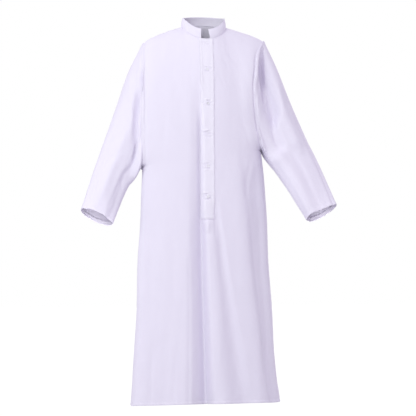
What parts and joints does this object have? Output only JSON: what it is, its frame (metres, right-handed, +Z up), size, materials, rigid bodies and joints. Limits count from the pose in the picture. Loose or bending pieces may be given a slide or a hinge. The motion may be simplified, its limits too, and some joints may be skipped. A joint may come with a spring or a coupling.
{
  "type": "cassock",
  "caption": "Full-length white cassock with a stand collar, a buttoned half-front placket and long sleeves, hollow as worn, with an open neck, hem and cuffs.",
  "frame": {"origin": "the middle of the neck opening, level with the neck seam at the shoulders, where the wearer's neck and shoulders hold the robe up", "axes": "+Z up; the robe faces -Y; +X is the wearer's left"},
  "size_m": [0.9423, 0.3189, 1.4532],
  "materials": {
    "front_cloth": "matte light poly-viscose cloth, white with a faint lavender cast",
    "back_cloth": "matte light poly-viscose cloth, white with a faint lavender cast",
    "sleeve_right_cloth": "matte light poly-viscose cloth, white with a faint lavender cast",
    "sleeve_left_cloth": "matte light poly-viscose cloth, white with a faint lavender cast",
    "collar_cloth": "matte cloth over interfacing, topstitched",
    "placket_cloth": "matte cloth, folded and topstitched",
    "button_white": "satin white resin"
  },
  "bodies": {
    "root": {"front": "front_cloth", "back": "back_cloth", "sleeve_right": "sleeve_right_cloth", "sleeve_left": "sleeve_left_cloth", "collar": "collar_cloth", "placket": "placket_cloth", "button_1": "button_white", "button_2": "button_white", "button_3": "button_white", "button_4": "button_white", "button_5": "button_white", "button_6": "button_white"}
  },
  "joints": []
}
